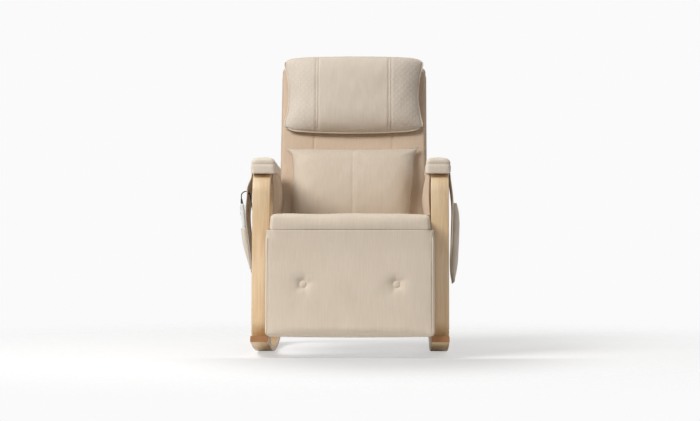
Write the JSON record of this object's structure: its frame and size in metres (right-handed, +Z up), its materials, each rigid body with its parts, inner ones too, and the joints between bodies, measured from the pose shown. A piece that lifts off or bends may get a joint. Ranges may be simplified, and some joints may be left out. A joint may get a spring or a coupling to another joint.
{
  "type": "massage rocking chair",
  "caption": "Bentwood rocking chair with upholstered reclining massage back, lift-up footrest, padded arms with side pockets and a corded remote.",
  "frame": {"origin": "On the floor, midway between the two lines where the rockers touch it at rest.", "axes": "Z is up, -Y is the way the chair faces and +X is the sitter's left."},
  "size_m": [0.7275, 0.9118, 1.0213],
  "materials": {
    "birch": "satin lacquered bent birch",
    "plywood": "raw plywood",
    "beige_fabric": "woven beige upholstery",
    "webbing": "woven elastic webbing",
    "black_steel": "matt black powder coat",
    "zinc_steel": "zinc plated",
    "aluminium": "cast aluminium",
    "dark_snap": "dark brown gloss",
    "nylon": "natural nylon",
    "black_plastic": "moulded black",
    "covered_shell": "moulded shell covered in beige weave",
    "circuit_green": "solder mask",
    "remote_white": "moulded white",
    "remote_keys": "grey silicone",
    "cord_rubber": "matt black"
  },
  "bodies": {
    "chair_frame": {"right_rocker": "birch", "left_rocker": "birch", "right_side_frame": "birch", "left_side_frame": "birch", "front_rail": "birch", "rear_rail": "birch", "frame_bolts": "zinc_steel", "barrel_nuts": "zinc_steel", "rocker_screws": "zinc_steel", "seat_frame": "black_steel", "seat_spacers": "zinc_steel", "seat_webbing": "webbing", "seat_cushion": "beige_fabric", "control_box": "black_plastic", "control_box_lid": "black_plastic", "control_circuit": "circuit_green", "power_inlet": "black_plastic", "cord_gland": "black_plastic", "recline_hinge_fixed": "black_steel", "hinge_pins": "zinc_steel", "footrest_hinge_fixed": "black_steel", "right_arm_pad": "beige_fabric", "left_arm_pad": "beige_fabric", "right_inner_flap": "beige_fabric", "left_inner_flap": "beige_fabric", "right_outer_flap": "beige_fabric", "left_outer_flap": "beige_fabric", "remote_pocket": "beige_fabric", "magazine_pocket": "beige_fabric", "flap_snaps": "dark_snap", "cord_eyelet": "dark_snap", "remote_cord": "cord_rubber"},
    "footrest": {"footrest_board": "plywood", "footrest_cushion": "beige_fabric", "footrest_buttons": "beige_fabric", "footrest_hinge_moving": "black_steel"},
    "backrest": {"back_frame": "black_steel", "back_cushion": "beige_fabric", "massage_panel": "beige_fabric", "back_rear_cover": "covered_shell", "recline_hinge_moving": "black_steel", "guide_rods": "zinc_steel", "lift_motor": "black_steel", "head_pillow": "beige_fabric", "head_pillow_flap": "beige_fabric", "lumbar_pillow": "beige_fabric"},
    "lead_screw_body": {"lead_screw": "zinc_steel"},
    "massage_carriage": {"carriage": "aluminium", "roller_motor": "black_steel"},
    "pinion_body": {"drive_pinion": "nylon"},
    "right_massage_disc": {"right_disc_gear": "nylon", "right_massage_heads": "nylon"},
    "left_massage_disc": {"left_disc_gear": "nylon", "left_massage_heads": "nylon"},
    "remote_control": {"remote_housing": "remote_white", "remote_strain_relief": "cord_rubber"},
    "power_key_body": {"remote_power_key": "remote_keys"},
    "up_key_body": {"remote_up_key": "remote_keys"},
    "down_key_body": {"remote_down_key": "remote_keys"},
    "heat_key_body": {"remote_heat_key": "remote_keys"}
  },
  "joints": [
    {"name": "footrest_lift", "type": "hinge", "parent": "chair_frame", "child": "footrest", "pos_m": [0, -0.41159, 0.37156], "axis": [-1, 0, 0], "range_deg": [0, 80]},
    {"name": "back_recline", "type": "hinge", "parent": "chair_frame", "child": "backrest", "pos_m": [0, 0.08526, 0.33396], "axis": [-1, 0, 0], "range_deg": [0, 30]},
    {"name": "carriage_travel", "type": "slide", "parent": "backrest", "child": "massage_carriage", "axis": [0, 0.3746, 0.9272], "range_m": [-0.16, 0.16]},
    {"name": "lead_screw_spin", "type": "hinge", "parent": "backrest", "child": "lead_screw_body", "pos_m": [0.06, 0.20877, 0.60762], "axis": [0, 0.3746, 0.9272], "continuous": true},
    {"name": "right_disc_spin", "type": "hinge", "parent": "massage_carriage", "child": "right_massage_disc", "pos_m": [-0.06, 0.22762, 0.68629], "axis": [0, 0.9272, -0.3746], "continuous": true},
    {"name": "left_disc_spin", "type": "hinge", "parent": "massage_carriage", "child": "left_massage_disc", "pos_m": [0.06, 0.22762, 0.68629], "axis": [0, 0.9272, -0.3746], "continuous": true},
    {"name": "pinion_spin", "type": "hinge", "parent": "massage_carriage", "child": "pinion_body", "pos_m": [0, 0.22762, 0.68629], "axis": [0, 0.9272, -0.3746], "continuous": true},
    {"name": "remote_lift", "type": "slide", "parent": "chair_frame", "child": "remote_control", "axis": [-0.1045, 0.052, 0.9932], "range_m": [0, 0.12], "deforming": ["remote_cord"]},
    {"name": "power_key_press", "type": "slide", "parent": "remote_control", "child": "power_key_body", "axis": [0.9945, 0.0055, 0.1044], "range_m": [0, 0.0008], "stiffness_N_per_m": 400},
    {"name": "up_key_press", "type": "slide", "parent": "remote_control", "child": "up_key_body", "axis": [0.9945, 0.0055, 0.1044], "range_m": [0, 0.0008], "stiffness_N_per_m": 400},
    {"name": "down_key_press", "type": "slide", "parent": "remote_control", "child": "down_key_body", "axis": [0.9945, 0.0055, 0.1044], "range_m": [0, 0.0008], "stiffness_N_per_m": 400},
    {"name": "heat_key_press", "type": "slide", "parent": "remote_control", "child": "heat_key_body", "axis": [0.9945, 0.0055, 0.1044], "range_m": [0, 0.0008], "stiffness_N_per_m": 400}
  ],
  "couplings": [
    {"joint": "lead_screw_spin", "follows": "carriage_travel", "rad_per_m": 314.16},
    {"joint": "left_disc_spin", "follows": "right_disc_spin", "ratio": 1},
    {"joint": "pinion_spin", "follows": "right_disc_spin", "ratio": -2.3333}
  ]
}
